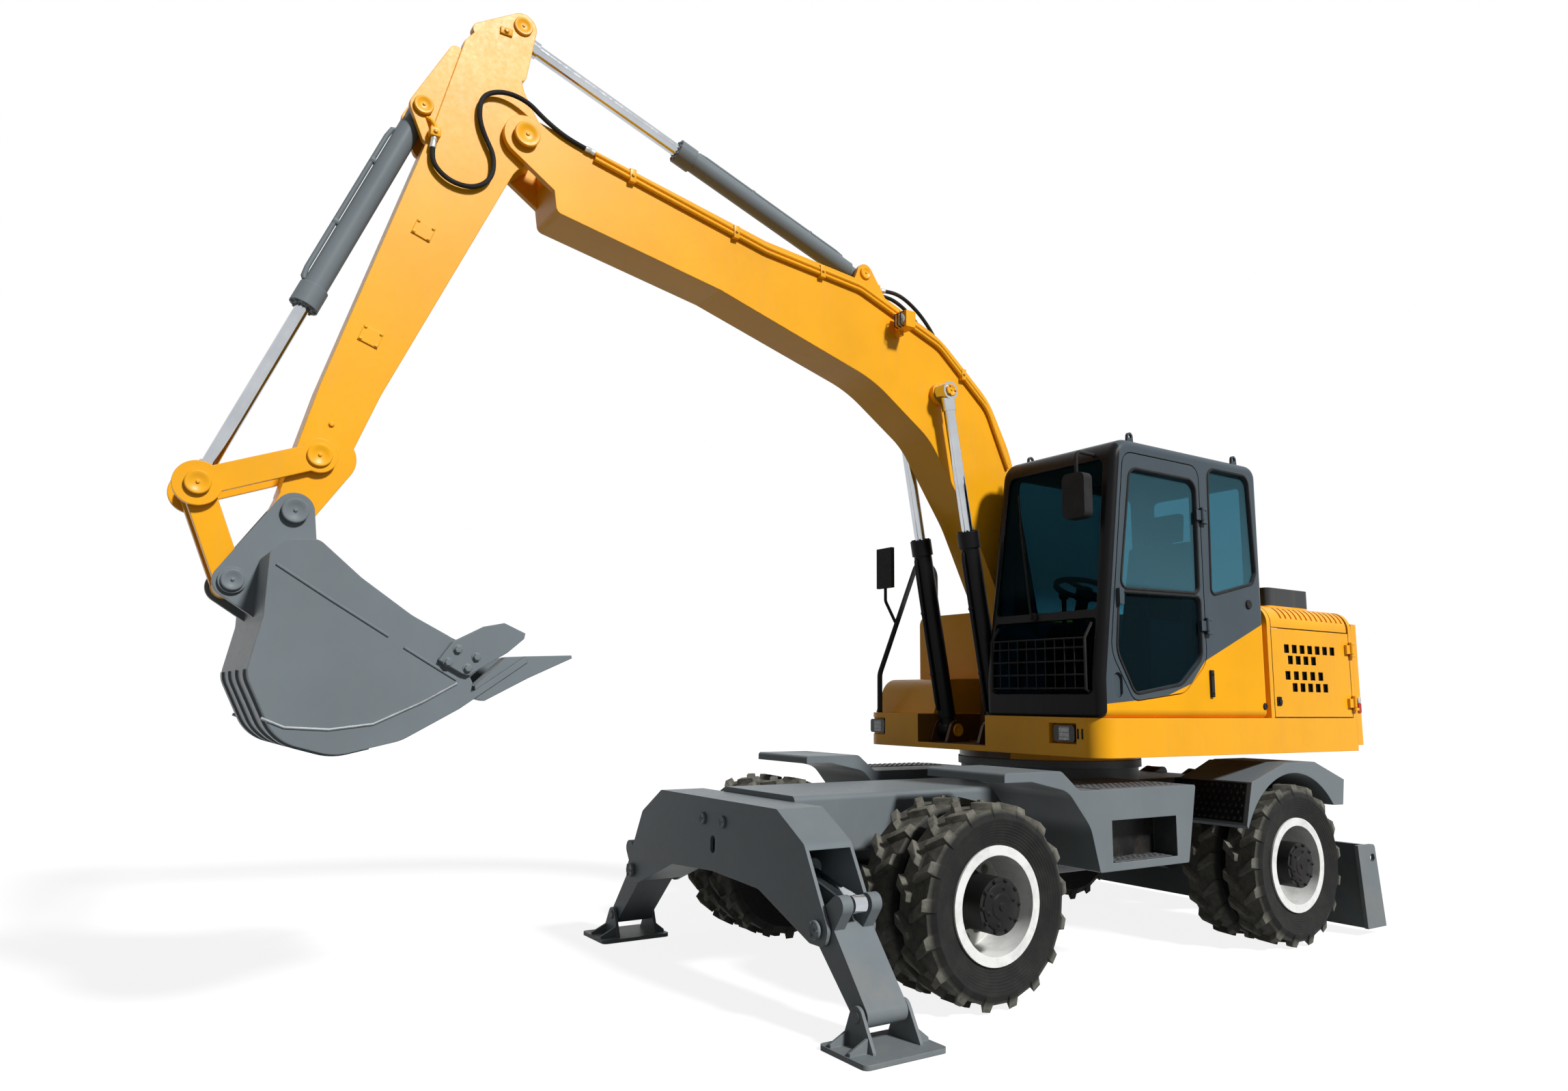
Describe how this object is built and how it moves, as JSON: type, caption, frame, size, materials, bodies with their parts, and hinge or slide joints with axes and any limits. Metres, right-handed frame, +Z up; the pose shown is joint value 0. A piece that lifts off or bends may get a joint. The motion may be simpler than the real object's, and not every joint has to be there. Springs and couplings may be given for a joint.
{
  "type": "wheeled excavator",
  "caption": "Wheeled excavator with a curved boom, arm and bucket, a side cab on a slewing deck, twin tyres, front outriggers and a rear dozer blade.",
  "frame": {"origin": "on the ground, under the middle of the whole machine as it stands", "axes": "+X towards the outriggers and the bucket, +Y to the machine's left, the cab's side, +Z up"},
  "size_m": [7.648, 3.02, 5.261],
  "materials": {
    "yellow_paint": "satin yellow-orange machine paint",
    "slate_paint": "satin slate-grey machine paint",
    "charcoal_paint": "satin charcoal paint",
    "black_paint": "satin black paint",
    "black_plastic": "matt black",
    "tyre": "matt black rubber",
    "rim_paint": "pale grey wheel paint",
    "chromed_rod": "polished hard chrome",
    "glass": "tinted glass",
    "seat_fabric": "dark woven seat cover",
    "lamp_plastic": "clear lamp lens",
    "worn_steel": "worn bare steel",
    "cast_iron": "dark cast metal"
  },
  "bodies": {
    "chassis": {"chassis_frame": "slate_paint", "slewing_ring": "worn_steel", "front_axle": "cast_iron", "rear_axle": "cast_iron", "drive_line": "cast_iron", "fenders": "slate_paint", "outrigger_beam": "slate_paint"},
    "wheel_front_left": {"tyres_front_left": "tyre", "rims_front_left": "rim_paint"},
    "wheel_front_right": {"tyres_front_right": "tyre", "rims_front_right": "rim_paint"},
    "wheel_rear_left": {"tyres_rear_left": "tyre", "rims_rear_left": "rim_paint"},
    "wheel_rear_right": {"tyres_rear_right": "tyre", "rims_rear_right": "rim_paint"},
    "knuckle_left": {"knuckle_left": "cast_iron"},
    "knuckle_right": {"knuckle_right": "cast_iron"},
    "tie_rod": {"tie_rod": "cast_iron"},
    "outrigger_leg_left": {"outrigger_leg_left": "slate_paint"},
    "outrigger_leg_right": {"outrigger_leg_right": "slate_paint"},
    "outrigger_foot_left": {"outrigger_foot_left": "slate_paint"},
    "outrigger_foot_right": {"outrigger_foot_right": "slate_paint"},
    "outrigger_barrel_left": {"outrigger_barrel_left": "slate_paint"},
    "outrigger_barrel_right": {"outrigger_barrel_right": "slate_paint"},
    "outrigger_rod_left": {"outrigger_rod_left": "chromed_rod"},
    "outrigger_rod_right": {"outrigger_rod_right": "chromed_rod"},
    "blade": {"dozer_blade": "slate_paint"},
    "blade_barrels": {"blade_barrels": "slate_paint"},
    "blade_rods": {"blade_rods": "chromed_rod"},
    "upper": {"upper_frame": "yellow_paint", "front_lamps": "lamp_plastic", "cab_frame": "charcoal_paint", "cab_glass": "glass", "cab_interior": "seat_fabric", "counterweight": "yellow_paint", "engine_block": "cast_iron", "rear_bodywork": "yellow_paint", "right_tanks": "yellow_paint", "rails_and_mirrors": "black_plastic"},
    "cab_door": {"cab_door": "charcoal_paint", "cab_door_glass": "glass"},
    "side_door_left": {"side_door_left": "yellow_paint"},
    "side_door_right": {"side_door_right": "yellow_paint"},
    "engine_hood": {"engine_hood": "yellow_paint"},
    "boom": {"boom": "yellow_paint", "boom_pipes": "yellow_paint"},
    "arm": {"arm": "yellow_paint"},
    "boom_barrels": {"boom_barrels": "black_paint"},
    "boom_rods": {"boom_rods": "chromed_rod"},
    "arm_barrel": {"arm_barrel": "slate_paint"},
    "arm_rod": {"arm_rod": "chromed_rod"},
    "bucket_barrel": {"bucket_barrel": "slate_paint"},
    "bucket_rod": {"bucket_rod": "chromed_rod"},
    "rocker_links": {"rocker_links": "yellow_paint"},
    "bucket_link": {"bucket_link": "yellow_paint"},
    "bucket": {"bucket": "slate_paint", "bucket_teeth": "worn_steel"}
  },
  "joints": [
    {"name": "steer_left", "type": "hinge", "parent": "chassis", "child": "knuckle_left", "pos_m": [0.091, 0.74, 0.515], "axis": [0, 0, 1], "range_deg": [-25, 25]},
    {"name": "steer_right", "type": "hinge", "parent": "chassis", "child": "knuckle_right", "pos_m": [0.091, -0.74, 0.515], "axis": [0, 0, 1], "range_deg": [-26, 26]},
    {"name": "tie_rod_turn", "type": "hinge", "parent": "knuckle_left", "child": "tie_rod", "pos_m": [-0.059, 0.74, 0.64], "axis": [0, 0, 1], "range_deg": [-26, 26]},
    {"name": "wheel_front_left_turn", "type": "hinge", "parent": "knuckle_left", "child": "wheel_front_left", "pos_m": [0.091, 1.2, 0.515], "axis": [0, 1, 0], "continuous": true},
    {"name": "wheel_rear_left_turn", "type": "hinge", "parent": "chassis", "child": "wheel_rear_left", "pos_m": [-2.609, 1.2, 0.515], "axis": [0, 1, 0], "continuous": true},
    {"name": "wheel_front_right_turn", "type": "hinge", "parent": "knuckle_right", "child": "wheel_front_right", "pos_m": [0.091, -1.2, 0.515], "axis": [0, 1, 0], "continuous": true},
    {"name": "wheel_rear_right_turn", "type": "hinge", "parent": "chassis", "child": "wheel_rear_right", "pos_m": [-2.609, -1.2, 0.515], "axis": [0, 1, 0], "continuous": true},
    {"name": "outrigger_leg_left_turn", "type": "hinge", "parent": "chassis", "child": "outrigger_leg_left", "pos_m": [0.935, 1.005, 0.47], "axis": [1, 0, 0], "range_deg": [-10, 110]},
    {"name": "outrigger_foot_left_turn", "type": "hinge", "parent": "outrigger_leg_left", "child": "outrigger_foot_left", "pos_m": [0.935, 1.3, 0.15], "axis": [1, 0, 0], "range_deg": [-20, 20]},
    {"name": "outrigger_barrel_left_turn", "type": "hinge", "parent": "chassis", "child": "outrigger_barrel_left", "pos_m": [0.935, 0.11, 0.873], "axis": [1, 0, 0], "range_deg": [-5.5, 0.95]},
    {"name": "outrigger_rod_left_slide", "type": "slide", "parent": "outrigger_barrel_left", "child": "outrigger_rod_left", "axis": [0, 0.9629, -0.2698], "range_m": [-0.2708, 0.0292]},
    {"name": "outrigger_leg_right_turn", "type": "hinge", "parent": "chassis", "child": "outrigger_leg_right", "pos_m": [0.935, -1.005, 0.47], "axis": [-1, 0, 0], "range_deg": [-10, 110]},
    {"name": "outrigger_foot_right_turn", "type": "hinge", "parent": "outrigger_leg_right", "child": "outrigger_foot_right", "pos_m": [0.935, -1.3, 0.15], "axis": [-1, 0, 0], "range_deg": [-20, 20]},
    {"name": "outrigger_barrel_right_turn", "type": "hinge", "parent": "chassis", "child": "outrigger_barrel_right", "pos_m": [0.935, -0.11, 0.873], "axis": [-1, 0, 0], "range_deg": [-5.5, 0.95]},
    {"name": "outrigger_rod_right_slide", "type": "slide", "parent": "outrigger_barrel_right", "child": "outrigger_rod_right", "axis": [0, -0.9629, -0.2698], "range_m": [-0.2708, 0.0292]},
    {"name": "blade_lift", "type": "hinge", "parent": "chassis", "child": "blade", "pos_m": [-2.859, 0, 0.43], "axis": [0, 1, 0], "range_deg": [-12, 30]},
    {"name": "blade_barrels_turn", "type": "hinge", "parent": "chassis", "child": "blade_barrels", "pos_m": [-3.029, 0, 1.01], "axis": [0, 1, 0], "range_deg": [-1.86, 3.89]},
    {"name": "blade_rods_slide", "type": "slide", "parent": "blade_barrels", "child": "blade_rods", "axis": [-0.2918, 0, -0.9565], "range_m": [-0.1871, 0.0778]},
    {"name": "slew", "type": "hinge", "parent": "chassis", "child": "upper", "pos_m": [-1.609, 0, 1.12], "axis": [0, 0, 1], "continuous": true},
    {"name": "cab_door_turn", "type": "hinge", "parent": "upper", "child": "cab_door", "pos_m": [-1.8275, 1.158, 2.25], "axis": [0, 0, 1], "range_deg": [0, 150]},
    {"name": "side_door_left_turn", "type": "hinge", "parent": "upper", "child": "side_door_left", "pos_m": [-3.5055, 1.158, 1.75], "axis": [0, 0, 1], "range_deg": [0, 100]},
    {"name": "side_door_right_turn", "type": "hinge", "parent": "upper", "child": "side_door_right", "pos_m": [-3.5055, -1.158, 1.75], "axis": [0, 0, -1], "range_deg": [0, 100]},
    {"name": "engine_hood_turn", "type": "hinge", "parent": "upper", "child": "engine_hood", "pos_m": [-2.5425, 0, 2.233], "axis": [0, 1, 0], "range_deg": [0, 55]},
    {"name": "boom_lift", "type": "hinge", "parent": "upper", "child": "boom", "pos_m": [-1.459, -0.12, 1.88], "axis": [0, -1, 0], "range_deg": [-60, 24]},
    {"name": "boom_barrels_turn", "type": "hinge", "parent": "upper", "child": "boom_barrels", "pos_m": [-1.009, -0.12, 1.345], "axis": [0, -1, 0], "range_deg": [-53.97, 21.89]},
    {"name": "boom_rods_slide", "type": "slide", "parent": "boom_barrels", "child": "boom_rods", "axis": [0.1831, 0, 0.9831], "range_m": [-0.6636, 0.2685]},
    {"name": "arm_turn", "type": "hinge", "parent": "boom", "child": "arm", "pos_m": [2.343, -0.12, 4.527], "axis": [0, 1, 0], "range_deg": [-70, 40]},
    {"name": "arm_barrel_turn", "type": "hinge", "parent": "boom", "child": "arm_barrel", "pos_m": [-0.009, -0.12, 4.345], "axis": [0, 1, 0], "range_deg": [-2.81, 1.82]},
    {"name": "arm_rod_slide", "type": "slide", "parent": "arm_barrel", "child": "arm_rod", "axis": [0.9434, 0, 0.3316], "range_m": [-0.7307, 0.4197]},
    {"name": "bucket_turn", "type": "hinge", "parent": "arm", "child": "bucket", "pos_m": [3.332, -0.12, 2.362], "axis": [0, 1, 0], "range_deg": [-120, 35]},
    {"name": "rocker_turn", "type": "hinge", "parent": "arm", "child": "rocker_links", "pos_m": [3.24, -0.12, 2.642], "axis": [0, 1, 0], "range_deg": [-98.76, 29.16]},
    {"name": "bucket_link_turn", "type": "hinge", "parent": "rocker_links", "child": "bucket_link", "pos_m": [3.724, -0.12, 2.452], "axis": [0, 1, 0], "range_deg": [-15.57, 52.17]},
    {"name": "bucket_barrel_turn", "type": "hinge", "parent": "arm", "child": "bucket_barrel", "pos_m": [2.872, -0.12, 4.547], "axis": [0, 1, 0], "range_deg": [-4.33, 1.62]},
    {"name": "bucket_rod_slide", "type": "slide", "parent": "bucket_barrel", "child": "bucket_rod", "axis": [0.3767, 0, -0.9263], "range_m": [-0.775, 0.2296]}
  ],
  "couplings": [
    {"joint": "steer_right", "follows": "steer_left", "ratio": 1},
    {"joint": "tie_rod_turn", "follows": "steer_left", "ratio": -1},
    {"joint": "outrigger_barrel_left_turn", "follows": "outrigger_leg_left_turn", "ratio": -0.044553},
    {"joint": "outrigger_rod_left_slide", "follows": "outrigger_leg_left_turn", "m_per_rad": -0.13571},
    {"joint": "outrigger_barrel_right_turn", "follows": "outrigger_leg_right_turn", "ratio": -0.044553},
    {"joint": "outrigger_rod_right_slide", "follows": "outrigger_leg_right_turn", "m_per_rad": -0.13571},
    {"joint": "blade_barrels_turn", "follows": "blade_lift", "ratio": 0.11085},
    {"joint": "blade_rods_slide", "follows": "blade_lift", "m_per_rad": -0.34087},
    {"joint": "boom_barrels_turn", "follows": "boom_lift", "ratio": 0.87365},
    {"joint": "boom_rods_slide", "follows": "boom_lift", "m_per_rad": 0.61662},
    {"joint": "arm_barrel_turn", "follows": "arm_turn", "ratio": 0.032398},
    {"joint": "arm_rod_slide", "follows": "arm_turn", "m_per_rad": 0.58231},
    {"joint": "rocker_turn", "follows": "bucket_turn", "ratio": 0.8028},
    {"joint": "bucket_link_turn", "follows": "bucket_turn", "ratio": -0.42214},
    {"joint": "bucket_barrel_turn", "follows": "bucket_turn", "ratio": 0.03133},
    {"joint": "bucket_rod_slide", "follows": "bucket_turn", "m_per_rad": 0.36042}
  ]
}
